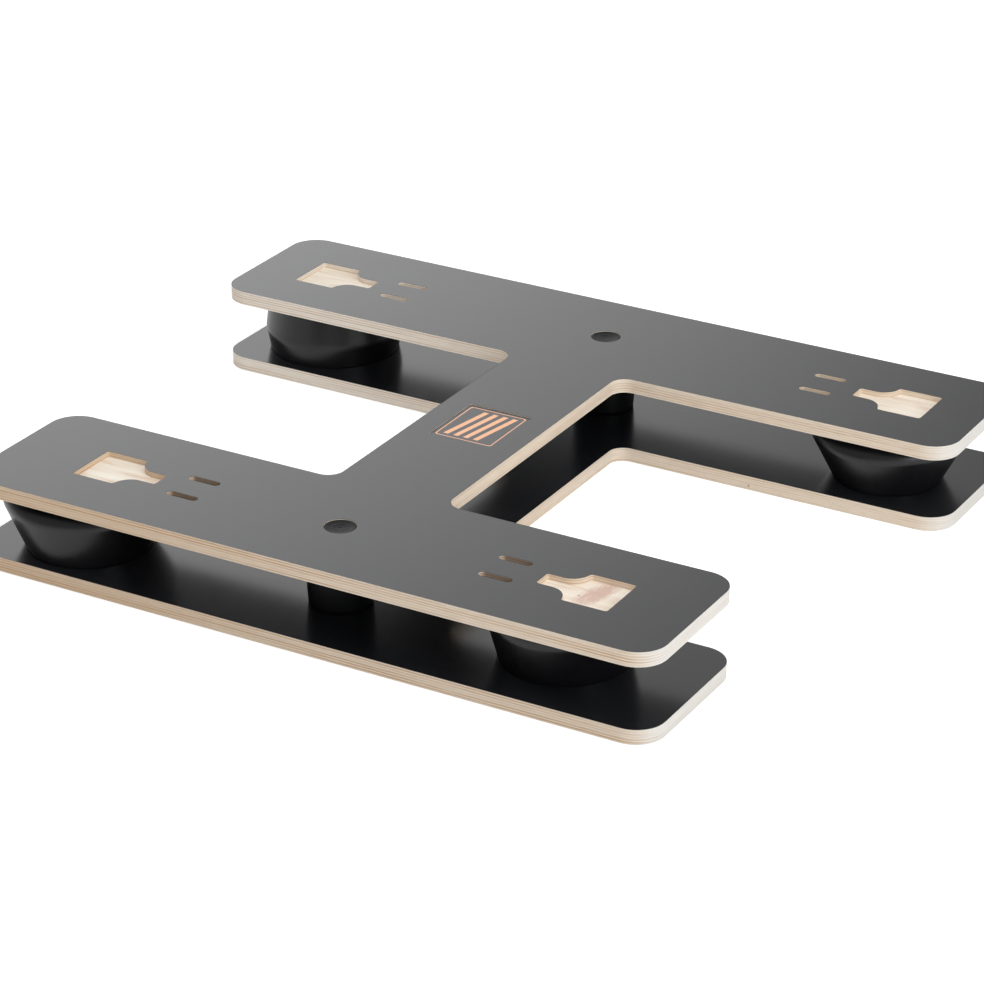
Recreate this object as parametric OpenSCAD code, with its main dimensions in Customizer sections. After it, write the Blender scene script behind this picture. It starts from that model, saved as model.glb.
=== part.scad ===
// Rocker plate for a bicycle turbo trainer.
// Two H-shaped plywood plates are held apart by two rubber buffers on the centre line
// and by four air cushions at the bar ends, so that the upper plate, the deck, rocks
// from side to side over the lower one, the base.
// X runs along the cross bars, Y from front to rear and Z up. The base stands on z = 0.

/* [Plates] */
// Thickness of each plywood plate, with its films
ply_t = 15; // [12:0.5:21]
// Thickness of the phenolic film on each face
film_t = 0.3; // [0.2:0.05:0.5]
// Raw edge left round each film
film_inset = 0.5; // [0.2:0.1:2]
// Length of the rear cross bar, left to right
rear_bar_l = 860; // [800:1:1000]
// Length of the front cross bar, left to right
front_bar_l = 752; // [720:1:1000]
// Width of each cross bar, front to rear
bar_w = 179; // [165:1:220]
// Length of the plates, front to rear
plate_l = 717; // [620:1:820]
// Width of the spine that joins the bars
spine_w = 124; // [100:1:180]
// Radius of the outer corners
corner_r = 30; // [10:1:70]
// Radius of the inner corners
notch_r = 17; // [8:1:40]
// Free height between the plates
gap_h = 63; // [56:1:80]

/* [Foot pockets] */
// Distance of the front pockets from the bar's ends, before the shift
front_pocket_end = 106.5; // [95:0.5:120]
// Shift of both front pockets to the right, for a trainer with offset front legs
front_pocket_shift = 6.5; // [-8:0.5:8]
// Distance of the rear pockets from the bar's ends, before the shift
rear_pocket_end = 81.5; // [70:0.5:120]
// Shift of both rear pockets to the right
rear_pocket_shift = 1.5; // [-8:0.5:8]
// Length of a pocket's wide end, left to right
pocket_l = 47.5; // [36:0.5:60]
// Width of a pocket's wide end, front to rear
pocket_w = 60; // [44:1:80]
// Length of a pocket's neck
neck_l = 35.5; // [24:0.5:44]
// Width of a pocket's neck
neck_w = 22; // [16:0.5:36]
// Depth of the pockets
pocket_depth = 6; // [3:0.5:8]
// Radius left by the router in the pockets' corners
router_r = 3; // [2:0.5:5]

/* [Strap slots] */
// Length of a slot from end to end
slot_l = 35; // [28:1:42]
// Width of a slot
slot_w = 9; // [6:0.5:12]
// Distance between the two slots of a pair
slot_pitch = 39; // [30:1:60]
// Distance from a pocket's centre inboard to its slots
slot_step = 97; // [92:1:110]

/* [Rubber buffers] */
// Diameter of a buffer at its ends
buffer_d = 62; // [56:1:80]
// Swell of a buffer at half height
buffer_swell = 1.5; // [0.5:0.25:4]
// Diameter of the steel disc bonded into each end
disc_d = 50; // [44:1:54]
// Thickness of the steel disc
disc_t = 2.5; // [2:0.5:4]
// Diameter of the threaded boss on the disc
boss_d = 20; // [16:1:26]
// Height of the disc and its boss together
boss_h = 18; // [15:1:20]

/* [Bolts and caps] */
// Shank diameter of the bolts
bolt_d = 10; // [8:1:12]
// Length of the bolts under the head
bolt_l = 20; // [17:1:22]
// Diameter of the bolt heads
head_d = 17.5; // [16:0.5:20]
// Height of the bolt heads
head_h = 5; // [4:0.5:6]
// Hexagon socket across its corners
socket_d = 7; // [5:0.5:8]
// Depth of the hexagon socket
socket_depth = 3; // [2:0.5:3.5]
// Diameter of the washers
washer_d = 30; // [26:0.5:31]
// Thickness of the washers
washer_t = 2; // [1.5:0.5:3]
// Diameter of the counterbores for heads and caps
counterbore_d = 32; // [32:0.5:40]
// Depth of the counterbores in the deck
deck_counterbore = 10.5; // [10.3:0.1:11]
// Depth of the counterbores in the underside of the base
base_counterbore = 8; // [8:0.5:10]
// Wall of the plastic caps
cap_wall = 1.4; // [1.2:0.1:1.6]
// Depth of the dish in a cap
cap_dish = 0.8; // [0.3:0.1:0.9]
// Depth of a cap's rim below the deck's face
cap_sink = 0.7; // [0.2:0.1:0.8]

/* [Air cushions] */
// Distance of the front cushions from the bar's ends, before the shift
front_cushion_end = 110.5; // [106:0.5:140]
// Shift of both front cushions to the right, as they lie in the photo
front_cushion_shift = -23.5; // [-26:0.5:20]
// Distance of the rear cushions from the bar's ends, before the shift
rear_cushion_end = 96; // [91:0.5:140]
// Shift of both rear cushions to the right, as they lie in the photo
rear_cushion_shift = -6.5; // [-8:0.5:8]
// Radius of the flat that a cushion presses on the base
cushion_foot_r = 64; // [58:1:66]
// Radius of the flat that a cushion presses on the deck
cushion_head_r = 67; // [58:1:70]
// Radius of a cushion at its belly
cushion_belly_r = 79; // [75:1:82]
// Height of the belly over the base
cushion_belly_z = 43; // [28:1:46]
// Rounding of the belly
cushion_crest_r = 12; // [8:1:16]
// Rubber wall of a cushion
cushion_wall = 3; // [2:0.5:5]
// Diameter of the air valve plug
valve_d = 10; // [8:0.5:14]
// Length of the air valve plug
valve_l = 9; // [7:0.5:12]
// Diameter of the needle hole in the valve
needle_d = 2; // [1:0.1:3]

/* [Badge] */
// Width of the badge, left to right
badge_w = 72; // [50:1:90]
// Length of the badge, front to rear
badge_l = 84; // [60:1:110]
// Radius of the badge's corners
badge_r = 3; // [1:0.5:8]
// Thickness of the badge plate
badge_t = 1.2; // [0.8:0.1:2]
// Depth of the badge's face below the deck's face
badge_sink = 0.9; // [0.3:0.1:1.5]
// Depth of the coloured inlay in the badge
inlay_t = 0.4; // [0.2:0.05:0.6]
// Number of slanted bars in the inlay
badge_bars = 4; // [2:1:6]

/* [Fits] */
// Clearance of loose seats, all round
seat_clear = 0.2; // [0.1:0.05:0.4]
// Clearance between soft rubber and what moves against it
soft_clear = 0.3; // [0.2:0.05:0.5]
// Clearance of the bolts in the plywood, on diameter
bolt_clear = 1; // [0.5:0.25:2]
// Clearance of the bolts in the bosses, on diameter
thread_clear = 0.2; // [0.1:0.05:0.4]

/* [Hidden] */
$fn = 96;

// Levels, from the floor up
base_top = ply_t;
deck_under = base_top + gap_h;
deck_top = deck_under + ply_t;
// Centre line of each cross bar, and the inner edge of both
bar_y = (plate_l - bar_w) / 2;
bar_inner = plate_l / 2 - bar_w;
// Pockets and cushions keep their distance from the ends of their bar
front_pocket_x = front_bar_l / 2 - front_pocket_end;
rear_pocket_x = rear_bar_l / 2 - rear_pocket_end;
front_cushion_x = front_bar_l / 2 - front_cushion_end;
rear_cushion_x = rear_bar_l / 2 - rear_cushion_end;
// Clear height that a cushion or a buffer fills
soft_h = gap_h - soft_clear;
// Length that a cut runs past a face
over = 1;

birch = [0.88, 0.81, 0.70];
film_black = [0.24, 0.25, 0.26];
rubber_black = [0.09, 0.09, 0.10];
plastic_black = [0.16, 0.17, 0.18];
zinc = [0.70, 0.71, 0.73];
orange = [0.94, 0.70, 0.52];

// Child shape in all four quarters of the plate
module quarters() {
    for (mx = [0, 1], my = [0, 1])
        mirror([mx, 0, 0]) mirror([0, my, 0]) children();
}

// Child shape at both ends of one bar, its +X side outboard
module bar_ends(x, y, shift) {
    for (mx = [0, 1])
        translate([shift, 0]) mirror([mx, 0, 0]) translate([x, y]) children();
}

// Child shape at the two buffers
module buffer_places() {
    for (y = [-bar_y, bar_y])
        translate([0, y]) children();
}

module rounded_rect(w, l, r) {
    square([w - 2 * r, l], center = true);
    square([w, l - 2 * r], center = true);
    for (sx = [-1, 1], sy = [-1, 1])
        translate([sx * (w / 2 - r), sy * (l / 2 - r)]) circle(r);
}

// Fill of a concave corner at the origin, rounded towards +X and +Y
module inner_corner(r) {
    difference() {
        translate([-over, -over]) square(r + over);
        translate([r, r]) circle(r);
    }
}

// Outline of a plate, drawn in by inset
module plate_outline(inset = 0) {
    w = bar_w - 2 * inset;
    r = corner_r - inset;
    translate([0, bar_y]) rounded_rect(rear_bar_l - 2 * inset, w, r);
    translate([0, -bar_y]) rounded_rect(front_bar_l - 2 * inset, w, r);
    square([spine_w - 2 * inset, 2 * bar_y], center = true);
    quarters()
        translate([spine_w / 2 - inset, bar_inner + inset])
            mirror([0, 1, 0]) inner_corner(notch_r + inset);
}

// Outline of one foot pocket: wide end outboard, neck inboard, hollow shoulders between
module pocket_outline() {
    shoulder = (pocket_w - neck_w) / 2;
    neck_end = -pocket_l / 2 - neck_l;
    rounded_rect(pocket_l, pocket_w, router_r);
    translate([neck_end + (neck_l + pocket_l / 2) / 2, 0])
        rounded_rect(neck_l + pocket_l / 2, neck_w, router_r);
    for (my = [0, 1])
        mirror([0, my, 0]) difference() {
            translate([-pocket_l / 2 - shoulder, neck_w / 2 - over])
                square([shoulder + router_r, shoulder - router_r + over]);
            translate([-pocket_l / 2 - shoulder, neck_w / 2 + shoulder]) circle(shoulder);
        }
}

module pockets() {
    bar_ends(front_pocket_x, -bar_y, front_pocket_shift) pocket_outline();
    bar_ends(rear_pocket_x, bar_y, rear_pocket_shift) pocket_outline();
}

module slot_pair() {
    for (sy = [-1, 1])
        translate([0, sy * slot_pitch / 2]) {
            square([slot_l - slot_w, slot_w], center = true);
            for (sx = [-1, 1])
                translate([sx * (slot_l - slot_w) / 2, 0]) circle(slot_w / 2);
        }
}

module slots() {
    bar_ends(front_pocket_x - slot_step, -bar_y, front_pocket_shift) slot_pair();
    bar_ends(rear_pocket_x - slot_step, bar_y, rear_pocket_shift) slot_pair();
}

module badge_outline(inset = 0) {
    rounded_rect(badge_w - 2 * inset, badge_l - 2 * inset, badge_r);
}

// A prism of the child outline between two levels
module between(low, high) {
    translate([0, 0, low]) linear_extrude(high - low) children();
}

// A plate at rest on z = 0, with a shallow rebate in each face for its film
module plate_blank() {
    difference() {
        between(0, ply_t) plate_outline();
        between(-over, film_t) plate_outline(film_inset);
        between(ply_t - film_t, ply_t + over) plate_outline(film_inset);
        between(-over, ply_t + over) buffer_places() circle(d = bolt_d + bolt_clear);
    }
}

module base_core() {
    color(birch) difference() {
        plate_blank();
        between(-over, base_counterbore) buffer_places() circle(d = counterbore_d);
    }
}

module base_top_film() {
    color(film_black) between(base_top - film_t, base_top) difference() {
        plate_outline(film_inset);
        buffer_places() circle(d = bolt_d + bolt_clear);
    }
}

module base_underside_film() {
    color(film_black) between(0, film_t) difference() {
        plate_outline(film_inset);
        buffer_places() circle(d = counterbore_d);
    }
}

module deck_core() {
    badge_depth = badge_t + badge_sink;
    color(birch) translate([0, 0, deck_under]) difference() {
        plate_blank();
        between(ply_t - pocket_depth, ply_t + over) pockets();
        between(-over, ply_t + over) slots();
        between(ply_t - deck_counterbore, ply_t + over)
            buffer_places() circle(d = counterbore_d);
        between(ply_t - badge_depth, ply_t + over) badge_outline();
    }
}

module deck_top_film() {
    color(film_black) between(deck_top - film_t, deck_top) difference() {
        plate_outline(film_inset);
        pockets();
        slots();
        buffer_places() circle(d = counterbore_d);
        badge_outline();
    }
}

module deck_underside_film() {
    color(film_black) between(deck_under, deck_under + film_t) difference() {
        plate_outline(film_inset);
        slots();
        buffer_places() circle(d = bolt_d + bolt_clear);
    }
}

// Half section of a barrel of height h whose side is an arc between the two radii
module barrel_section(end_r, mid_r, h) {
    centre_r = (pow(mid_r, 2) - pow(end_r, 2) - pow(h / 2, 2)) / (2 * (mid_r - end_r));
    intersection() {
        square([mid_r + over, h]);
        union() {
            translate([centre_r, h / 2]) circle(mid_r - centre_r);
            if (centre_r > 0)
                square([centre_r, h]);
        }
    }
}

module buffer_rubber(y) {
    color(rubber_black) translate([0, y, base_top]) difference() {
        rotate_extrude() barrel_section(buffer_d / 2, buffer_d / 2 + buffer_swell, soft_h);
        for (end = [0, 1])
            translate([0, 0, end * gap_h]) mirror([0, 0, end]) {
                translate([0, 0, -over])
                    cylinder(d = disc_d + 2 * soft_clear, h = disc_t + soft_clear + over);
                cylinder(d = boss_d + 2 * soft_clear, h = boss_h + soft_clear);
            }
    }
}

// Steel disc with a threaded boss, its flat face at the origin and the boss upwards
module threaded_disc() {
    difference() {
        union() {
            cylinder(d = disc_d, h = disc_t);
            cylinder(d = boss_d, h = boss_h);
        }
        translate([0, 0, -over])
            cylinder(d = bolt_d + thread_clear, h = boss_h - disc_t / 2 + over);
    }
}

module lower_disc(y) {
    color(zinc) translate([0, y, base_top]) threaded_disc();
}

module upper_disc(y) {
    color(zinc) translate([0, y, deck_under]) mirror([0, 0, 1]) threaded_disc();
}

// Button head bolt, its shank upwards from the origin and its head below
module button_bolt() {
    difference() {
        union() {
            cylinder(d = bolt_d, h = bolt_l);
            translate([0, 0, -head_h / 2]) cylinder(d = head_d, h = head_h / 2);
            translate([0, 0, -head_h])
                cylinder(d1 = head_d * 0.62, d2 = head_d, h = head_h / 2);
        }
        translate([0, 0, -head_h - over])
            cylinder(d = socket_d, h = socket_depth + over, $fn = 6);
    }
}

module washer() {
    difference() {
        cylinder(d = washer_d, h = washer_t);
        translate([0, 0, -over]) cylinder(d = bolt_d + bolt_clear, h = washer_t + 2 * over);
    }
}

// Level of the seat under the washer in the deck and in the base
deck_seat = deck_top - deck_counterbore;
base_seat = base_counterbore;

module deck_bolt(y) {
    color(zinc) translate([0, y, deck_seat + washer_t]) mirror([0, 0, 1]) button_bolt();
}

module deck_washer(y) {
    color(zinc) translate([0, y, deck_seat]) washer();
}

module base_bolt(y) {
    color(zinc) translate([0, y, base_seat - washer_t]) button_bolt();
}

module base_washer(y) {
    color(zinc) translate([0, y, base_seat - washer_t]) washer();
}

// Dished plastic cap that stands on the washer and closes the counterbore flush
module deck_cap(y) {
    cap_h = deck_counterbore - washer_t - cap_sink;
    cap_d = counterbore_d - 2 * seat_clear;
    dish_d = cap_d - 2 * cap_wall;
    dish_r = (pow(dish_d / 2, 2) + pow(cap_dish, 2)) / (2 * cap_dish);
    color(plastic_black) translate([0, y, deck_seat + washer_t]) difference() {
        cylinder(d = cap_d, h = cap_h);
        translate([0, 0, -over])
            cylinder(d = dish_d, h = cap_h - cap_wall - cap_dish + over);
        translate([0, 0, cap_h - cap_dish + dish_r]) sphere(dish_r, $fn = 480);
    }
}

// Half section of a cushion of height h: straight walls from the foot and from the head to a
// circle of radius crest_r that they touch at the belly, all drawn in by wall
module cushion_section(foot_r, head_r, belly_r, belly_z, crest_r, h, wall = 0) {
    cx = belly_r - crest_r;
    r = crest_r - wall;
    low = atan2(-belly_z, foot_r - cx) + acos(crest_r / norm([foot_r - cx, belly_z]));
    high = atan2(h - belly_z, head_r - cx) - acos(crest_r / norm([head_r - cx, h - belly_z]));
    foot_x = cx + (r - (wall - belly_z) * sin(low)) / cos(low);
    head_x = cx + (r - (h - wall - belly_z) * sin(high)) / cos(high);
    translate([cx, belly_z]) circle(r);
    polygon([
        [0, wall], [foot_x, wall], [cx + r * cos(low), belly_z + r * sin(low)],
        [cx + r * cos(high), belly_z + r * sin(high)], [head_x, h - wall], [0, h - wall]
    ]);
}

module cushion_body(wall = 0) {
    rotate_extrude()
        cushion_section(cushion_foot_r, cushion_head_r, cushion_belly_r, cushion_belly_z,
                        cushion_crest_r, soft_h, wall);
}

// Rubber air cushion squashed between the plates, with a hole for its valve
module air_cushion(x, y) {
    color(rubber_black) translate([x, y, base_top]) difference() {
        cushion_body();
        cushion_body(cushion_wall);
        translate([0, cushion_belly_r - valve_l, cushion_belly_z]) rotate([-90, 0, 0])
            cylinder(d = valve_d + seat_clear, h = valve_l + over);
    }
}

// Valve plug through the rear wall of a cushion, with a blind hole for a needle
module air_valve(x, y) {
    color(plastic_black)
        translate([x, y + cushion_belly_r - valve_l, base_top + cushion_belly_z])
            rotate([-90, 0, 0]) difference() {
                cylinder(d = valve_d, h = valve_l);
                translate([0, 0, valve_l / 4]) cylinder(d = needle_d, h = valve_l);
            }
}

// Slanted bars and a line round them
module badge_marks() {
    frame_inset = badge_w / 18;
    line_w = badge_w / 60;
    field_w = badge_w - 4 * frame_inset;
    bar_step = field_w / (badge_bars + 1);
    bar_len = badge_l - 5 * frame_inset;
    slant = bar_step;
    difference() {
        badge_outline(frame_inset);
        badge_outline(frame_inset + line_w);
    }
    for (i = [0 : badge_bars - 1])
        translate([(i - (badge_bars - 1) / 2) * bar_step, 0])
            polygon([
                [-slant / 2 - bar_step / 4, -bar_len / 2], [-slant / 2 + bar_step / 4, -bar_len / 2],
                [slant / 2 + bar_step / 4, bar_len / 2], [slant / 2 - bar_step / 4, bar_len / 2]
            ]);
}

badge_top = deck_top - badge_sink;

// Where each cushion lies on its bar
front_left_x = front_cushion_shift - front_cushion_x;
front_right_x = front_cushion_shift + front_cushion_x;
rear_left_x = rear_cushion_shift - rear_cushion_x;
rear_right_x = rear_cushion_shift + rear_cushion_x;

module badge_plate() {
    color(film_black) difference() {
        between(badge_top - badge_t, badge_top) badge_outline(seat_clear);
        between(badge_top - inlay_t, badge_top + over) badge_marks();
    }
}

module badge_inlay() {
    color(orange) between(badge_top - inlay_t, badge_top) badge_marks();
}

base_core();
base_top_film();
base_underside_film();
deck_core();
deck_top_film();
deck_underside_film();
buffer_rubber(-bar_y);  // front_buffer_rubber
lower_disc(-bar_y);  // front_buffer_lower_disc
upper_disc(-bar_y);  // front_buffer_upper_disc
buffer_rubber(bar_y);  // rear_buffer_rubber
lower_disc(bar_y);  // rear_buffer_lower_disc
upper_disc(bar_y);  // rear_buffer_upper_disc
deck_bolt(-bar_y);  // front_deck_bolt
deck_washer(-bar_y);  // front_deck_washer
deck_cap(-bar_y);  // front_deck_cap
deck_bolt(bar_y);  // rear_deck_bolt
deck_washer(bar_y);  // rear_deck_washer
deck_cap(bar_y);  // rear_deck_cap
base_bolt(-bar_y);  // front_base_bolt
base_washer(-bar_y);  // front_base_washer
base_bolt(bar_y);  // rear_base_bolt
base_washer(bar_y);  // rear_base_washer
air_cushion(front_left_x, -bar_y);  // front_left_air_cushion
air_cushion(front_right_x, -bar_y);  // front_right_air_cushion
air_cushion(rear_left_x, bar_y);  // rear_left_air_cushion
air_cushion(rear_right_x, bar_y);  // rear_right_air_cushion
air_valve(front_left_x, -bar_y);  // front_left_air_valve
air_valve(front_right_x, -bar_y);  // front_right_air_valve
air_valve(rear_left_x, bar_y);  // rear_left_air_valve
air_valve(rear_right_x, bar_y);  // rear_right_air_valve
badge_plate();
badge_inlay();
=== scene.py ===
"""Looks of a rocker plate for a bicycle turbo trainer.

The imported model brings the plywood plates, films, steel parts and badge. This script makes
the rubber pieces and the caps, whose shapes a solid only roughs out, and gives every piece the
finish of the real one. X runs along the cross bars, Y to the rear and Z up, in metres.
"""
import math

import bpy
import numpy as np
from mathutils import Matrix, Vector


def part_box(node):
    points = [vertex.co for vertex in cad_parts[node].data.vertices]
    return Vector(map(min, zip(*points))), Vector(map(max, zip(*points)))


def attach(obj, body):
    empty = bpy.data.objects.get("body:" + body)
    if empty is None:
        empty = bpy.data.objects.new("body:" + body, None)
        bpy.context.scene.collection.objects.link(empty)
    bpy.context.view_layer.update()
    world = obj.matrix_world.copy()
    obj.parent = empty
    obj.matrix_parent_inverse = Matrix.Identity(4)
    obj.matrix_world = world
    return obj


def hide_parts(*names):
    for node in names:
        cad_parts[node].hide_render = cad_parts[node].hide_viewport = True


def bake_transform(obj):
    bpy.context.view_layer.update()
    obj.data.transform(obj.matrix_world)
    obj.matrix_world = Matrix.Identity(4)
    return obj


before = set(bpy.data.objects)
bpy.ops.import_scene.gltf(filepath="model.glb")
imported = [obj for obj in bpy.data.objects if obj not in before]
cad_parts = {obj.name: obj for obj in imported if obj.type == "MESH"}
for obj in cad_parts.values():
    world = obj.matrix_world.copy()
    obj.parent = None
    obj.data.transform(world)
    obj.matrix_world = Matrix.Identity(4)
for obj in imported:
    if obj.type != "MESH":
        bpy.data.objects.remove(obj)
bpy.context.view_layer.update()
scene = bpy.context.scene
MM = 0.001

# Levels of the plates, read from the frame
BASE_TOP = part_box("base_core")[1].z
DECK_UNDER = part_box("deck_core")[0].z
PLY = BASE_TOP
# Birch plywood of this thickness has 11 veneers
VENEER = PLY / 11
# Middle of the front strap slots: to the right of the centre line, from there to each pair's
# middle, and along Y
FRONT_SLOTS_SHIFT = 6.5 * MM
FRONT_SLOTS_X = 172.5 * MM
FRONT_SLOTS_Y = -269 * MM
# X and Y of the patch of pink brown heart in the front right pocket
HEART_PATCH = (270 * MM, -263 * MM)


def linear(hex_colour):
    """Linear RGBA of an sRGB hex colour: c / 12.92 up to 0.04045, and beyond it
    ((c + 0.055) / 1.055) ^ 2.4."""
    parts = [int(hex_colour[i:i + 2], 16) / 255 for i in (1, 3, 5)]
    lin = [c / 12.92 if c <= 0.04045 else ((c + 0.055) / 1.055) ** 2.4 for c in parts]
    return (*lin, 1.0)


def add(tree, kind, links=(), stops=(), **settings):
    """Adds one node. settings are its properties, or its inputs where the name starts in upper
    case, with _ for a space, or is in0, in1 by number. links are (input, output socket) pairs,
    and stops the (place, hex colour) pairs of a colour ramp."""
    node = tree.nodes.new(kind)
    inputs = {}
    for key, value in settings.items():
        if key.startswith("in") and key[2:].isdigit():
            inputs[int(key[2:])] = value
        elif key[0].isupper():
            inputs[key.replace("_", " ")] = value
        else:
            setattr(node, key, value)
    for key, value in inputs.items():
        node.inputs[key].default_value = value
    for key, socket in links:
        tree.links.new(socket, node.inputs[key])
    band = node.color_ramp.elements if stops else []
    while len(band) < len(stops):
        band.new(0.5)
    for element, (place, colour) in zip(band, stops):
        element.position = place
        element.color = linear(colour)
    return node


def finish(name):
    """A new material with its tree, its Principled node and its object coordinates."""
    material = bpy.data.materials.new(name)
    material.use_nodes = True
    tree = material.node_tree
    tree.nodes.clear()
    coat = add(tree, "ShaderNodeBsdfPrincipled")
    add(tree, "ShaderNodeOutputMaterial", [("Surface", coat.outputs[0])])
    where = add(tree, "ShaderNodeTexCoord").outputs["Object"]
    return material, tree, coat, where


def sized(x, y, z):
    """Scale of a Mapping node that gives noise of scale 1 these three real sizes in mm."""
    return 1 / (x * MM), 1 / (y * MM), 1 / (z * MM)


def above_underside(tree, z):
    """Height of a point over the underside of its own plate, base or deck."""
    upper = add(tree, "ShaderNodeMath", [(0, z)], operation="GREATER_THAN",
                in1=(BASE_TOP + DECK_UNDER) / 2)
    drop = add(tree, "ShaderNodeMath", [(0, upper.outputs[0])], operation="MULTIPLY",
               in1=DECK_UNDER)
    height = add(tree, "ShaderNodeMath", [(0, z), (1, drop.outputs[0])], operation="SUBTRACT")
    return height.outputs[0]


def veneer_edge(tree, where, split, height, fibre):
    """Colour of a routed edge: pale long grain and darker end grain by turns, parted by thin
    brown glue lines. split holds a point's X, Y and Z, height is its level in its plate, and
    fibre the noise of the wood fibres."""
    # veneers wander by up to 0.4 mm along the edge, in waves 60 mm long
    waves = add(tree, "ShaderNodeMapping", [("Vector", where)], Scale=sized(60, 60, 12))
    wander = add(tree, "ShaderNodeTexNoise", [("Vector", waves.outputs[0])], Scale=1.0, Detail=2.0)
    drift = add(tree, "ShaderNodeMath", [(0, wander.outputs[0])], operation="MULTIPLY_ADD",
                in1=0.8 * MM, in2=-0.4 * MM)
    level = add(tree, "ShaderNodeMath", [(0, height), (1, drift.outputs[0])], operation="ADD")
    count = add(tree, "ShaderNodeMath", [(0, level.outputs[0])], operation="DIVIDE", in1=VENEER)
    half = add(tree, "ShaderNodeMath", [(0, count.outputs[0])], operation="MULTIPLY", in1=0.5)
    turn = add(tree, "ShaderNodeMath", [(0, half.outputs[0])], operation="FRACT")
    endgrain = add(tree, "ShaderNodeMath", [(0, turn.outputs[0])], operation="GREATER_THAN", in1=0.5)
    pale = add(tree, "ShaderNodeValToRGB", [(0, fibre)],
               stops=((0.25, "#d2c0a9"), (0.5, "#e0d0bc"), (0.8, "#eaddce")))
    dark = add(tree, "ShaderNodeValToRGB", [(0, fibre)],
               stops=((0.25, "#a98465"), (0.5, "#c19d7b"), (0.8, "#d0b295")))
    # end grain shows strongly in some veneers and stretches, hardly in others, and less to the
    # rear, where the veneers are paler, most of all at the left
    stretches = add(tree, "ShaderNodeMapping", [("Vector", where)], Scale=sized(250, 250, 4))
    patch = add(tree, "ShaderNodeTexNoise", [("Vector", stretches.outputs[0])], Scale=1.0,
                Detail=3.0)
    strong = add(tree, "ShaderNodeMapRange", [(0, patch.outputs[0])], in1=0.4, in2=0.6, in3=0.15,
                 in4=1.0)
    weaker = add(tree, "ShaderNodeMapRange", [(0, split.outputs[1])], in1=-0.2, in2=0.3, in3=1.0,
                 in4=0.5)
    seen = add(tree, "ShaderNodeMath", [(0, strong.outputs[0]), (1, weaker.outputs[0])],
               operation="MULTIPLY")
    share = add(tree, "ShaderNodeMath", [(0, endgrain.outputs[0]), (1, seen.outputs[0])],
                operation="MULTIPLY")
    across = add(tree, "ShaderNodeMath", [(0, split.outputs[1]), (1, split.outputs[0])],
                 operation="SUBTRACT")
    rear = add(tree, "ShaderNodeMapRange", [(0, across.outputs[0])], in1=0.0, in2=0.45, in3=0.0,
               in4=0.6)
    bleached = add(tree, "ShaderNodeMix", [(0, rear.outputs[0]), (6, pale.outputs[0])],
                   data_type="RGBA", in7=linear("#f0ebe2"))
    body = add(tree, "ShaderNodeMix", [(0, share.outputs[0]), (6, bleached.outputs[2]),
                                       (7, dark.outputs[0])], data_type="RGBA")
    # glue lines 0.1 mm thick, drawn up to 0.38 mm wide with soft sides so that they show, and
    # stronger in some places than in others, each 30 mm or so long
    within = add(tree, "ShaderNodeMath", [(0, count.outputs[0])], operation="FRACT")
    away = add(tree, "ShaderNodeMath", [(0, within.outputs[0])], operation="SUBTRACT", in1=0.5)
    side = add(tree, "ShaderNodeMath", [(0, away.outputs[0])], operation="ABSOLUTE")
    glue = add(tree, "ShaderNodeMapRange", [(0, side.outputs[0])], in1=0.36, in2=0.47)
    places = add(tree, "ShaderNodeMapping", [("Vector", where)], Scale=sized(30, 30, 1.4))
    spell = add(tree, "ShaderNodeTexNoise", [("Vector", places.outputs[0])], Scale=1.0, Detail=2.0)
    stain = add(tree, "ShaderNodeMapRange", [(0, spell.outputs[0])], in1=0.4, in2=0.68, in3=0.0,
                in4=0.42)
    weight = add(tree, "ShaderNodeMath", [(0, glue.outputs[0]), (1, stain.outputs[0])],
                 operation="MULTIPLY")
    lined = add(tree, "ShaderNodeMix", [(0, weight.outputs[0]), (6, body.outputs[2])],
                data_type="RGBA", in7=linear("#8f7056"))
    return lined.outputs[2]


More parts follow.
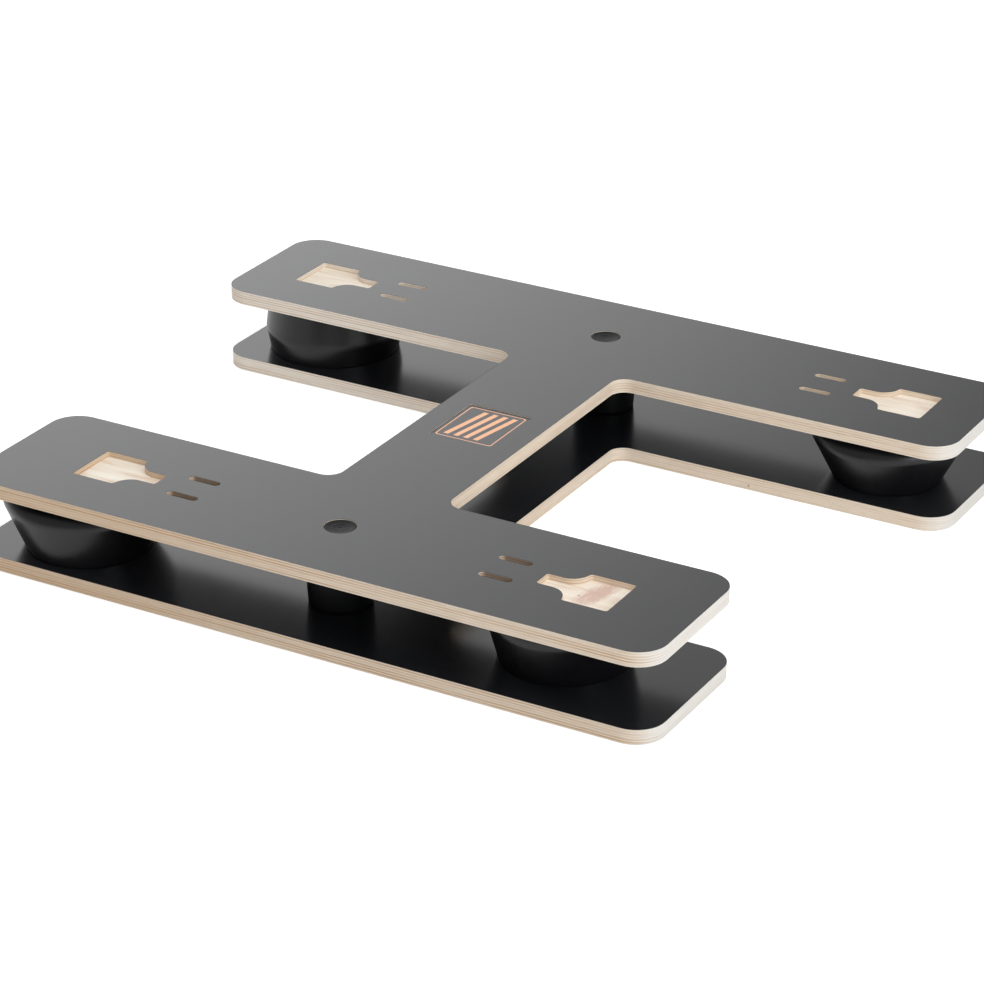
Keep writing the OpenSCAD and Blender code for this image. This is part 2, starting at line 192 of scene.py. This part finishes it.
def tinted_edge_with_painted_light(tree, split, lean, edge):
    """Colour of a routed edge, tinted warmer and darker at the front left corner, with painted shade
    in the front strap slots and painted light on the bars' right ends. lean holds the X, Y and Z of
    the surface's normal."""
    # the front left corner is painted warmer and darker, fully where X + Y is below -0.57 m
    corner = add(tree, "ShaderNodeMath", [(0, split.outputs[0]), (1, split.outputs[1])],
                 operation="ADD")
    front_left_share = add(tree, "ShaderNodeMapRange", [(0, corner.outputs[0])], in1=-0.3, in2=-0.57,
                   in3=0.0, in4=0.35)
    front_left_tinted = add(tree, "ShaderNodeMix", [(0, front_left_share.outputs[0]), (6, edge)], data_type="RGBA",
               in7=linear("#bd935f"))
    # painted shade: the walls of the front strap slots are painted dark brown where shade falls
    # inside them, a little more on the left, but not their left ends, which face the right lamp
    shift = add(tree, "ShaderNodeMath", [(0, split.outputs[0])], operation="SUBTRACT",
                in1=FRONT_SLOTS_SHIFT)
    reach = add(tree, "ShaderNodeMath", [(0, shift.outputs[0])], operation="ABSOLUTE")
    in_x = add(tree, "ShaderNodeMath", [(0, reach.outputs[0])], operation="COMPARE",
               in1=FRONT_SLOTS_X, in2=30 * MM)
    in_y = add(tree, "ShaderNodeMath", [(0, split.outputs[1])], operation="COMPARE",
               in1=FRONT_SLOTS_Y, in2=28 * MM)
    in_slot = add(tree, "ShaderNodeMath", [(0, in_x.outputs[0]), (1, in_y.outputs[0])],
                  operation="MULTIPLY")
    slot_shade_by_x = add(tree, "ShaderNodeMapRange", [(0, split.outputs[0])], in1=-0.1, in2=0.1, in3=0.6,
               in4=0.55)
    turned_from_lamp = add(tree, "ShaderNodeMath", [(1, lean.outputs[0])], operation="SUBTRACT",
                 use_clamp=True, in0=1.0)
    slot_shade_weight = add(tree, "ShaderNodeMath", [(0, slot_shade_by_x.outputs[0]), (1, turned_from_lamp.outputs[0])],
              operation="MULTIPLY")
    slot_shade = add(tree, "ShaderNodeMath", [(0, in_slot.outputs[0]), (1, slot_shade_weight.outputs[0])],
                 operation="MULTIPLY")
    slot_shaded = add(tree, "ShaderNodeMix", [(0, slot_shade.outputs[0]), (6, front_left_tinted.outputs[2])],
                  data_type="RGBA", in7=linear("#5b463a"))
    # painted light: the bars' right ends, on faces turned to the right lamp, are painted paler and
    # cooler, from x = 335 to 370 mm
    right_end_light = add(tree, "ShaderNodeMapRange", [(0, split.outputs[0])], in1=0.335, in2=0.37,
                    in3=0.0, in4=0.6)
    lit_by_right_lamp = add(tree, "ShaderNodeMath", [(0, lean.outputs[0]), (1, right_end_light.outputs[0])],
                 operation="MULTIPLY", use_clamp=True)
    right_end_lit = add(tree, "ShaderNodeMix", [(0, lit_by_right_lamp.outputs[0]), (6, slot_shaded.outputs[2])],
                 data_type="RGBA", in7=linear("#d3d6d6"))
    return right_end_lit.outputs[2]


def pocket_floor(tree, where):
    """Colour of face grain, as the pockets' floors show it: rings 2 to 6 mm apart, drawn out
    along the bars, with pink brown heart here and there."""
    grown = add(tree, "ShaderNodeMapping", [("Vector", where)], Scale=sized(90, 11, 50))
    rings = add(tree, "ShaderNodeTexNoise", [("Vector", grown.outputs[0])], Scale=1.0, Detail=5.0,
                Roughness=0.55, Distortion=0.4)
    face = add(tree, "ShaderNodeValToRGB", [(0, rings.outputs[0])],
               stops=((0.28, "#d8c0aa"), (0.42, "#e8dac8"), (0.7, "#f2ebde")))
    inner = add(tree, "ShaderNodeMapping", [("Vector", where)], Scale=sized(110, 35, 100))
    heart = add(tree, "ShaderNodeTexNoise", [("Vector", inner.outputs[0])], Scale=1.0, Detail=3.0,
                Distortion=0.6)
    blush = add(tree, "ShaderNodeMapRange", [(0, heart.outputs[0])], in1=0.52, in2=0.66, in3=0.0,
                in4=0.55)
    tinted = add(tree, "ShaderNodeMix", [(0, blush.outputs[0]), (6, face.outputs[0])],
                 data_type="RGBA", in7=linear("#c79f8b"))
    # one patch of heart, 34 x 100 mm with soft ends, lies under the front right pocket
    near = add(tree, "ShaderNodeMapping", [("Vector", where)], vector_type="TEXTURE",
               Location=(*HEART_PATCH, 0.0), Rotation=(0, 0, math.radians(-14)),
               Scale=(17 * MM, 50 * MM, 1.0))
    ball = add(tree, "ShaderNodeTexGradient", [(0, near.outputs[0])], gradient_type="SPHERICAL")
    torn = add(tree, "ShaderNodeMapping", [("Vector", where)], Scale=sized(6, 20, 50))
    ragged = add(tree, "ShaderNodeTexNoise", [("Vector", torn.outputs[0])], Scale=1.0, Detail=6.0,
                 Distortion=1.5)
    both = add(tree, "ShaderNodeMath", [(0, ball.outputs[1]), (1, ragged.outputs[0])],
               operation="MULTIPLY")
    spot = add(tree, "ShaderNodeMapRange", [(0, both.outputs[0])], in1=0.09, in2=0.33, in3=0.0,
               in4=0.74)
    hearted = add(tree, "ShaderNodeMix", [(0, spot.outputs[0]), (6, tinted.outputs[2])],
                  data_type="RGBA", in7=linear("#c39b8c"))
    return hearted.outputs[2]


def birch_plywood():
    """Birch plywood of 11 veneers, routed and sanded raw. Upright cuts show the veneers' edges,
    flat cuts their face grain."""
    material, tree, coat, where = finish("birch_plywood")
    split = add(tree, "ShaderNodeSeparateXYZ", [(0, where)])
    height = above_underside(tree, split.outputs[2])
    drawn = add(tree, "ShaderNodeMapping", [("Vector", where)], Scale=sized(20, 20, 0.5))
    fibre = add(tree, "ShaderNodeTexNoise", [("Vector", drawn.outputs[0])], Scale=1.0, Detail=4.0,
                Roughness=0.6)
    normal = add(tree, "ShaderNodeNewGeometry").outputs["Normal"]
    lean = add(tree, "ShaderNodeSeparateXYZ", [(0, normal)])
    edge = tinted_edge_with_painted_light(tree, split, lean, veneer_edge(tree, where, split, height, fibre.outputs[0]))
    steep = add(tree, "ShaderNodeMath", [(0, lean.outputs[2])], operation="ABSOLUTE")
    flat = add(tree, "ShaderNodeMath", [(0, steep.outputs[0])], operation="GREATER_THAN", in1=0.5)
    floor = pocket_floor(tree, where)
    colour = add(tree, "ShaderNodeMix", [(0, flat.outputs[0]), (6, edge), (7, floor)],
                 data_type="RGBA")
    # the rim round the films is sealed dark: it is flat and lies at a plate's face
    mid = add(tree, "ShaderNodeMath", [(0, height)], operation="SUBTRACT", in1=PLY / 2)
    apart = add(tree, "ShaderNodeMath", [(0, mid.outputs[0])], operation="ABSOLUTE")
    at_face = add(tree, "ShaderNodeMath", [(0, apart.outputs[0])], operation="GREATER_THAN",
                  in1=PLY / 2 - 0.1 * MM)
    rim = add(tree, "ShaderNodeMath", [(0, at_face.outputs[0]), (1, flat.outputs[0])],
              operation="MULTIPLY")
    sealed = add(tree, "ShaderNodeMix", [(0, rim.outputs[0]), (6, colour.outputs[2])],
                 data_type="RGBA", in7=linear("#45423f"))
    # pin knots 1.6 mm across with soft sides, some 45 mm apart
    cell = add(tree, "ShaderNodeTexVoronoi", [("Vector", where)], Scale=1 / (45 * MM))
    knot = add(tree, "ShaderNodeMapRange", [(0, cell.outputs["Distance"])], in1=0.018, in2=0.034,
               in3=0.75, in4=0.0)
    knotted = add(tree, "ShaderNodeMix", [(0, knot.outputs[0]), (6, sealed.outputs[2])],
                  data_type="RGBA", in7=linear("#6f4a33"))
    tree.links.new(knotted.outputs[2], coat.inputs["Base Color"])
    coat.inputs["Roughness"].default_value = 0.62
    bump = add(tree, "ShaderNodeBump", [("Height", fibre.outputs[0])], Strength=0.15,
               Distance=0.2 * MM)
    tree.links.new(bump.outputs[0], coat.inputs["Normal"])
    return material


def phenolic_film():
    """Phenolic resin film hot pressed on the plywood: nearly black, smooth and half glossy, in
    clouds some 100 mm across, with the faint 2 mm orange peel that the press leaves."""
    material, tree, coat, where = finish("phenolic_film")
    flow = add(tree, "ShaderNodeMapping", [("Vector", where)], Scale=sized(120, 70, 100))
    cloud = add(tree, "ShaderNodeTexNoise", [("Vector", flow.outputs[0])], Scale=1.0, Detail=3.0)
    tone = add(tree, "ShaderNodeValToRGB", [(0, cloud.outputs[0])],
               stops=((0.0, "#131417"), (1.0, "#1b1c20")))
    tree.links.new(tone.outputs[0], coat.inputs["Base Color"])
    gloss = add(tree, "ShaderNodeMapRange", [(0, cloud.outputs[0])], in1=0.0, in2=1.0, in3=0.155,
                in4=0.215)
    tree.links.new(gloss.outputs[0], coat.inputs["Roughness"])
    peel = add(tree, "ShaderNodeTexNoise", [("Vector", where)], Scale=1 / (2 * MM), Detail=0.0)
    bump = add(tree, "ShaderNodeBump", [("Height", peel.outputs[0])], Strength=0.02,
               Distance=0.2 * MM)
    tree.links.new(bump.outputs[0], coat.inputs["Normal"])
    return material


def moulded_rubber(name, tone_low, tone_high, rough, gleam, grit):
    """Moulded rubber with a bloom in clouds of 25 mm. tone_low and tone_high are its colours,
    rough its roughness, gleam its specular level and grit the size in metres of the mould's
    fine unevenness."""
    material, tree, coat, where = finish(name)
    bloom = add(tree, "ShaderNodeTexNoise", [("Vector", where)], Scale=1 / (25 * MM), Detail=4.0)
    tone = add(tree, "ShaderNodeValToRGB", [(0, bloom.outputs[0])],
               stops=((0.0, tone_low), (1.0, tone_high)))
    tree.links.new(tone.outputs[0], coat.inputs["Base Color"])
    coat.inputs["Specular IOR Level"].default_value = gleam
    haze = add(tree, "ShaderNodeMapRange", [(0, bloom.outputs[0])], in1=0.0, in2=1.0,
               in3=rough - 0.06, in4=rough + 0.08)
    tree.links.new(haze.outputs[0], coat.inputs["Roughness"])
    skin = add(tree, "ShaderNodeTexNoise", [("Vector", where)], Scale=1 / grit, Detail=2.0)
    bump = add(tree, "ShaderNodeBump", [("Height", skin.outputs[0])], Strength=0.06,
               Distance=0.3 * MM)
    tree.links.new(bump.outputs[0], coat.inputs["Normal"])
    return material


def moulded_cap_plastic():
    """Black polypropylene cap, moulded with a fine sparked grain of about 0.4 mm."""
    material, tree, coat, where = finish("cap_polypropylene")
    grain = add(tree, "ShaderNodeTexNoise", [("Vector", where)], Scale=1 / (0.4 * MM), Detail=2.0)
    tone = add(tree, "ShaderNodeValToRGB", [(0, grain.outputs[0])],
               stops=((0.35, "#121314"), (0.7, "#1b1c1e")))
    tree.links.new(tone.outputs[0], coat.inputs["Base Color"])
    coat.inputs["Roughness"].default_value = 0.45
    coat.inputs["Specular IOR Level"].default_value = 0.09
    bump = add(tree, "ShaderNodeBump", [("Height", grain.outputs[0])], Strength=0.3,
               Distance=0.1 * MM)
    tree.links.new(bump.outputs[0], coat.inputs["Normal"])
    return material


def zinc_plated_steel():
    """Steel with bright zinc plating: a metal, a little uneven in gloss from the bath, in
    clouds some 3 mm across."""
    material, tree, coat, where = finish("zinc_plated_steel")
    cloud = add(tree, "ShaderNodeTexNoise", [("Vector", where)], Scale=350.0, Detail=3.0)
    tone = add(tree, "ShaderNodeValToRGB", [(0, cloud.outputs[0])],
               stops=((0.3, "#a9acb1"), (0.7, "#c6c9cc")))
    tree.links.new(tone.outputs[0], coat.inputs["Base Color"])
    coat.inputs["Metallic"].default_value = 1.0
    gloss = add(tree, "ShaderNodeMapRange", [(0, cloud.outputs[0])], in1=0.3, in2=0.7, in3=0.28,
                in4=0.42)
    tree.links.new(gloss.outputs[0], coat.inputs["Roughness"])
    return material


def engraving_laminate(name, low, high, rough):
    """Two-layer acrylic engraving laminate, matt rolled, with a grain of about 0.55 mm. low and
    high are its colours and rough its roughness."""
    material, tree, coat, where = finish(name)
    grain = add(tree, "ShaderNodeTexNoise", [("Vector", where)], Scale=1800.0, Detail=2.0)
    tone = add(tree, "ShaderNodeValToRGB", [(0, grain.outputs[0])],
               stops=((0.35, low), (0.65, high)))
    tree.links.new(tone.outputs[0], coat.inputs["Base Color"])
    coat.inputs["Roughness"].default_value = rough
    bump = add(tree, "ShaderNodeBump", [("Height", grain.outputs[0])], Strength=0.1,
               Distance=0.1 * MM)
    tree.links.new(bump.outputs[0], coat.inputs["Normal"])
    return material


def turned(name, radius, height, sides, lobe=None):
    """Closed surface turned about the Z axis through the origin. Point (i, j) of its grid is
    (radius[i] * k * cos(a), radius[i] * k * sin(a), height[i]) with a = 2 pi j / sides and
    k = lobe(i, a), or 1. The first and the last radius are 0, and a fan closes each end."""
    angle = np.arange(sides) * 2 * math.pi / sides
    ring = np.arange(1, len(radius) - 1)
    share = np.ones((len(ring), sides)) if lobe is None else lobe(ring[:, None], angle[None, :])
    reach = radius[ring][:, None] * share
    body = np.stack([reach * np.cos(angle), reach * np.sin(angle),
                     np.repeat(height[ring][:, None], sides, 1)], -1).reshape(-1, 3)
    points = np.vstack([body, [[0, 0, height[0]], [0, 0, height[-1]]]])
    here = np.arange(sides)
    step = (here + 1) % sides
    rows = np.arange(len(ring) - 1)[:, None] * sides
    quads = np.stack([rows + here, rows + step, rows + sides + step, rows + sides + here], -1)
    last = (len(ring) - 1) * sides
    below = np.stack([np.full(sides, len(body)), step, here], -1)
    above = np.stack([np.full(sides, len(body) + 1), last + here, last + step], -1)
    faces = quads.reshape(-1, 4).tolist() + below.tolist() + above.tolist()
    mesh = bpy.data.meshes.new(name)
    mesh.from_pydata(points.tolist(), [], faces)
    mesh.update()
    mesh.shade_smooth()
    piece = bpy.data.objects.new(name, mesh)
    scene.collection.objects.link(piece)
    return piece


def put(piece, x, y, z, turn=None):
    """Moves a piece's mesh to its place, after a turn about the origin, and leaves the object
    at the origin."""
    matrix = Matrix.Translation((x, y, z))
    if turn is not None:
        matrix = matrix @ turn
    piece.data.transform(matrix)
    piece.data.update()
    return piece


def dress(piece, material):
    """Gives a piece one material."""
    piece.data.materials.clear()
    piece.data.materials.append(material)


def arc_side(foot, belly, height, steps):
    """Side of a barrel: the circle through (foot, 0), (belly, height / 2) and (foot, height),
    as steps equal parts of height. Returns radius and height arrays."""
    rise = belly - foot
    big = (height * height / 4 + rise * rise) / (2 * rise)
    z = np.linspace(0, height, steps)
    return belly - big + np.sqrt(big * big - (z - height / 2) ** 2), z


def pod_side(foot, head, belly, belly_z, crest, height):
    """Side of a squashed pod: a straight wall from (foot, 0), the circle of radius crest whose
    outermost point is (belly, belly_z), and a straight wall to (head, height). Both walls touch
    the circle. Returns radius and height arrays, close together where the side turns."""
    cx = belly - crest
    low = math.atan2(-belly_z, foot - cx) + math.acos(crest / math.hypot(foot - cx, belly_z))
    top = height - belly_z
    high = math.atan2(top, head - cx) - math.acos(crest / math.hypot(head - cx, top))
    turn = np.linspace(low, high, 33)
    arc_r, arc_z = cx + crest * np.cos(turn), belly_z + crest * np.sin(turn)
    share = np.linspace(0, 1, 25)[:-1] ** 1.5
    wall_r = foot + (arc_r[0] - foot) * share
    wall_z = arc_z[0] * share
    back = share[::-1]
    return (np.concatenate([wall_r, arc_r, head + (arc_r[-1] - head) * back]),
            np.concatenate([wall_z, arc_z, height + (arc_z[-1] - height) * back]))


def rounded(r, z, span, depth):
    """Rounds both ends of a side: within span of an end the radius shrinks by
    depth * (1 - sqrt(1 - t^2)), where t rises from 0 to 1 at the end."""
    t = np.clip(1 - np.minimum(z, z[-1] - z) / span, 0, 1)
    return r - depth * (1 - np.sqrt(1 - t * t))


def with_ends(r, z, foot, head, shares):
    """Adds the flat ends to a side: rings at these shares of the foot's and the head's radius."""
    flat = np.array(shares)
    return (np.concatenate([foot * flat, r, head * flat[::-1]]),
            np.concatenate([np.full(len(flat), z[0]), z, np.full(len(flat), z[-1])]))


def slack(i, a):
    """Unevenness of an inflated skin: radius times 1 + 0.006 sin(3a + i/20) + 0.004 sin(7a + 1)."""
    return 1 + 0.006 * np.sin(3 * a + i / 20) + 0.004 * np.sin(7 * a + 1)


def lean_over(piece, slip, height):
    """Leans a piece: moves it in X and Y by slip * (1 - z / height) at height z."""
    count = len(piece.data.vertices)
    co = np.empty(count * 3)
    piece.data.vertices.foreach_get("co", co)
    co = co.reshape(-1, 3)
    co[:, :2] += np.array(slip) * (1 - co[:, 2:] / height)
    piece.data.vertices.foreach_set("co", co.ravel())
    piece.data.update()


def between_plates(piece):
    """Bakes a piece's place into its mesh, between the base and the deck."""
    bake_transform(piece)


def rubber_buffer(end, skin):
    """Rubber buffer: a squat barrel with a rounded lip at both ends."""
    node = f"{end}_buffer_rubber"
    low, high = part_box(node)
    y = (low.y + high.y) / 2
    belly = (high.x - low.x) / 2
    swell, lip = 1.5 * MM, 1.2 * MM
    foot = belly - swell
    r, z = arc_side(foot, belly, high.z - low.z, 41)
    r = rounded(r, z, lip, lip)
    r, z = with_ends(r, z, foot, foot, (0, 0.4, 0.8))
    piece = put(turned(f"{end}_rubber_buffer", r, z, 128), 0, y, low.z)
    dress(piece, skin)
    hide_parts(node)
    between_plates(piece)


def deck_cap(end, plastic):
    """Cap: a rim round a dish, with one raised ring and a gate mark in the middle, hollow below.
    At the radius r the dish lies d (1 - (r / R)^2) deep, with d = 1 mm and R its own radius.
    The ring adds 0.25 mm * exp(-((r - 0.45 W) / 0.6 mm)^2), W being the cap's radius, and the
    mark takes off 0.35 mm * exp(-(r / 1.3 mm)^4)."""
    node = f"{end}_deck_cap"
    low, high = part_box(node)
    wide = (high.x - low.x) / 2
    tall = high.z - low.z
    out = np.linspace(0, wide - 1.9 * MM, 40)
    dish = -1.0 * MM * (1 - (out / out[-1]) ** 2)
    ring = 0.25 * MM * np.exp(-((out - 0.45 * wide) / (0.6 * MM)) ** 2)
    gate = -0.35 * MM * np.exp(-(out / (1.3 * MM)) ** 4)
    top = tall + dish + ring + gate
    # from the middle of the hollow's ceiling, 2.6 mm below the rim, down the inside of the wall
    # of 1.4 mm, round its foot, up its outside and over the rim to the dish
    r = np.concatenate([[0, wide - 1.4 * MM, wide - 1.4 * MM, wide - 0.1 * MM, wide, wide],
                        [wide - 0.15 * MM, wide - 0.5 * MM, wide - 1.5 * MM, wide - 1.8 * MM],
                        out[::-1]])
    z = np.concatenate([[tall - 2.6 * MM, tall - 2.6 * MM, 0, 0, 0.1 * MM, tall - 0.5 * MM],
                        [tall - 0.15 * MM, tall, tall, tall - 0.12 * MM], top[::-1]])
    piece = put(turned(f"{end}_cap", r, z, 96), 0, (low.y + high.y) / 2, low.z)
    dress(piece, plastic)
    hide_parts(node)
    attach(piece, "deck")


# How each cushion lies, in mm: radius of its foot, head and belly, height of the belly, radius
# of the belly's crest, shift to the right, and how far the foot lies to the right and to the
# rear of the head
LIE = {
    "front_left": (62, 68, 84, 47, 11, 0, 8, -15), "front_right": (62, 67, 73, 46, 14, 0, -5, 9),
    "rear_left": (71, 71, 75, 24, 30, 2, 2, -4), "rear_right": (56, 66, 79, 45, 12, 1, 5, -10),
}


def air_cushion(corner, skin, valve_skin):
    """Air cushion: a squashed rubber pod that rolls in at both ends, and its valve plug."""
    node = f"{corner}_air_cushion"
    low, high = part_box(node)
    tall = high.z - low.z
    foot, head, belly, belly_z, crest, right, *slip = (v * MM for v in LIE[corner])
    x, y = (low.x + high.x) / 2 + right, (low.y + high.y) / 2
    r, z = pod_side(foot, head, belly, belly_z, crest, tall)
    roll_height, roll_depth = 1 * MM, 0.7 * MM
    r = rounded(r, z, roll_height, roll_depth)
    r, z = with_ends(r, z, foot, head, (0, 0.35, 0.7, 0.9))
    piece = turned(f"{corner}_cushion", r, z, 192, slack)
    lean_over(piece, slip, tall)
    put(piece, x, y, low.z)
    dress(piece, skin)
    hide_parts(node)
    between_plates(piece)
    # the plug's head stands proud of the skin at its own height, on the far side
    proud = 1.5 * MM
    low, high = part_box(f"{corner}_air_valve")
    level = (low.z + high.z) / 2
    place = int(np.argmin(np.abs(z - (level - BASE_TOP))))
    slipped = 1 - (level - BASE_TOP) / tall
    wall = r[place] * slack(place, math.pi / 2) + slip[1] * slipped
    plug = air_valve(corner, valve_skin, x + slip[0] * slipped, y + wall + proud, level)
    between_plates(plug)


def air_valve(corner, skin, x, face_y, level):
    """Valve plug: a stem, a rounded head and a needle hole, turned about Y. Its head's face is
    at face_y."""
    node = f"{corner}_air_valve"
    low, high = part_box(node)
    wide = (high.x - low.x) / 2
    deep = high.y - low.y
    r = np.array([0, 0.9, 1, 1, 0.96, 0.8, 0.45, 0.2, 0.2, 0]) * wide
    z = np.array([0, 0, 0.05, 0.86, 0.94, 0.99, 1, 0.97, 0.4, 0.4]) * deep
    lying = Matrix.Rotation(-math.pi / 2, 4, "X")
    plug = put(turned(f"{corner}_valve_plug", r, z, 48), x, face_y - deep, level, lying)
    dress(plug, skin)
    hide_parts(node)
    return plug


def studio_floor():
    """White studio paper, shown white to the camera and in gloss, keeping a soft shadow."""
    reach = 9.0
    # so low that it doesn't lie in the plane of the base's underside
    level = -0.3 * MM
    mesh = bpy.data.meshes.new("floor")
    mesh.from_pydata([(-reach, -reach, level), (reach, -reach, level), (reach, reach, level),
                      (-reach, reach, level)], [], [(0, 1, 2, 3)])
    floor = bpy.data.objects.new("floor", mesh)
    scene.collection.objects.link(floor)
    paper = bpy.data.materials.new("studio_paper")
    paper.use_nodes = True
    tree = paper.node_tree
    tree.nodes.clear()
    matt = add(tree, "ShaderNodeBsdfDiffuse", Color=linear("#f2f2f2"))
    path = add(tree, "ShaderNodeLightPath")
    seen = add(tree, "ShaderNodeMath", [(0, path.outputs["Is Camera Ray"]),
                                        (1, path.outputs["Is Glossy Ray"])], operation="MAXIMUM")
    lift = add(tree, "ShaderNodeMath", [(0, seen.outputs[0])], operation="MULTIPLY", in1=0.45)
    shine = add(tree, "ShaderNodeEmission", [("Strength", lift.outputs[0])])
    both = add(tree, "ShaderNodeAddShader", [(0, matt.outputs[0]), (1, shine.outputs[0])])
    add(tree, "ShaderNodeOutputMaterial", [("Surface", both.outputs[0])])
    mesh.materials.append(paper)


def studio_world():
    """An even white studio, brighter towards the window wall at the back left. Its light rises
    from 0.62 to 3.05 as a ray turns from 28 to 10 degrees off the window's middle, which are
    dot products of 0.885 and 0.985. The camera itself sees plain white."""
    world = bpy.data.worlds.new("studio")
    scene.world = world
    world.use_nodes = True
    tree = world.node_tree
    tree.nodes.clear()
    heading, rise = math.radians(45), math.radians(10)
    look = add(tree, "ShaderNodeTexCoord").outputs["Generated"]
    window = add(tree, "ShaderNodeVectorMath", [(0, look)], operation="DOT_PRODUCT",
                 in1=(-math.sin(heading) * math.cos(rise), math.cos(heading) * math.cos(rise),
                      math.sin(rise)))
    wall = add(tree, "ShaderNodeMapRange", [(0, window.outputs["Value"])], in1=0.885, in2=0.985,
               in3=0.62, in4=3.05)
    air = add(tree, "ShaderNodeBackground", [("Strength", wall.outputs[0])])
    clear = add(tree, "ShaderNodeBackground", Strength=1.0)
    path = add(tree, "ShaderNodeLightPath")
    mixed = add(tree, "ShaderNodeMixShader", [(0, path.outputs["Is Camera Ray"]),
                                              (1, air.outputs[0]), (2, clear.outputs[0])])
    add(tree, "ShaderNodeOutputWorld", [("Surface", mixed.outputs[0])])


def softbox(name, place, aim, width, depth, watts, colour):
    """Rectangular area lamp at place that faces aim."""
    data = bpy.data.lights.new(name, "AREA")
    data.shape = "RECTANGLE"
    data.size = width
    data.size_y = depth
    data.energy = watts
    data.color = colour
    lamp = bpy.data.objects.new(name, data)
    lamp.location = place
    lamp.rotation_euler = (Vector(aim) - Vector(place)).to_track_quat("-Z", "Y").to_euler()
    scene.collection.objects.link(lamp)


def photo_camera():
    """Camera at the photograph's view: a line of sight through target, turned and tipped by two
    angles and rolled by a third."""
    az, el, roll = math.radians(29.21), math.radians(25.18), math.radians(0.47)
    target = Vector((0.04189, -0.05105, 0.05))
    distance = 3.51303
    # focal length and width of the picture, in pixels
    focal, picture = 3542.01, 984
    ahead = Vector((-math.sin(az) * math.cos(el), math.cos(az) * math.cos(el), -math.sin(el)))
    level_right = ahead.cross(Vector((0, 0, 1))).normalized()
    level_up = level_right.cross(ahead)
    right = math.cos(roll) * level_right + math.sin(roll) * level_up
    up = -math.sin(roll) * level_right + math.cos(roll) * level_up
    data = bpy.data.cameras.new("camera")
    data.sensor_width = 36
    data.lens = 36 * focal / picture
    data.clip_end = 60
    camera = bpy.data.objects.new("camera", data)
    rows = Matrix((right, up, -ahead)).transposed().to_4x4()
    camera.matrix_world = Matrix.Translation(target - ahead * distance) @ rows
    scene.collection.objects.link(camera)
    scene.camera = camera


wood = birch_plywood()
film = phenolic_film()
cushion_skin = moulded_rubber("inflated_rubber_skin", "#0b0a0c", "#121114", 0.33, 0.39, 0.004)
buffer_skin = moulded_rubber("natural_rubber_buffer", "#040405", "#080809", 0.5, 0.2, 0.0012)
valve_skin = moulded_rubber("butyl_rubber_valve", "#161618", "#1f1f21", 0.5, 0.5, 0.0008)
cap_skin = moulded_cap_plastic()
zinc = zinc_plated_steel()
badge_field = engraving_laminate("engraving_laminate_black", "#2c2c2e", "#333335", 0.28)
badge_colour = engraving_laminate("engraving_laminate_orange", "#f0a878", "#f6b78c", 0.35)

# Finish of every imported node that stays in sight
for name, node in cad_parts.items():
    if name.endswith("_core"):
        dress(node, wood)
    elif name.endswith("_film"):
        dress(node, film)
    elif name == "badge_plate":
        dress(node, badge_field)
    elif name == "badge_inlay":
        dress(node, badge_colour)
    elif name.endswith(("_bolt", "_washer", "_disc")):
        dress(node, zinc)

for end in ("front", "rear"):
    rubber_buffer(end, buffer_skin)
for end in ("front", "rear"):
    deck_cap(end, cap_skin)
for corner in LIE:
    air_cushion(corner, cushion_skin, valve_skin)

studio_floor()
studio_world()
softbox("overhead_softbox", (0.2, -0.3, 2.6), (0, 0, 0), 2.4, 2.4, 34, (1, 1, 1))
softbox("right_softbox", (2.6, -0.9, 0.9), (0.2, 0, 0.05), 1.6, 1.4, 36, (0.92, 0.97, 1))
photo_camera()
scene.view_settings.view_transform = "Standard"
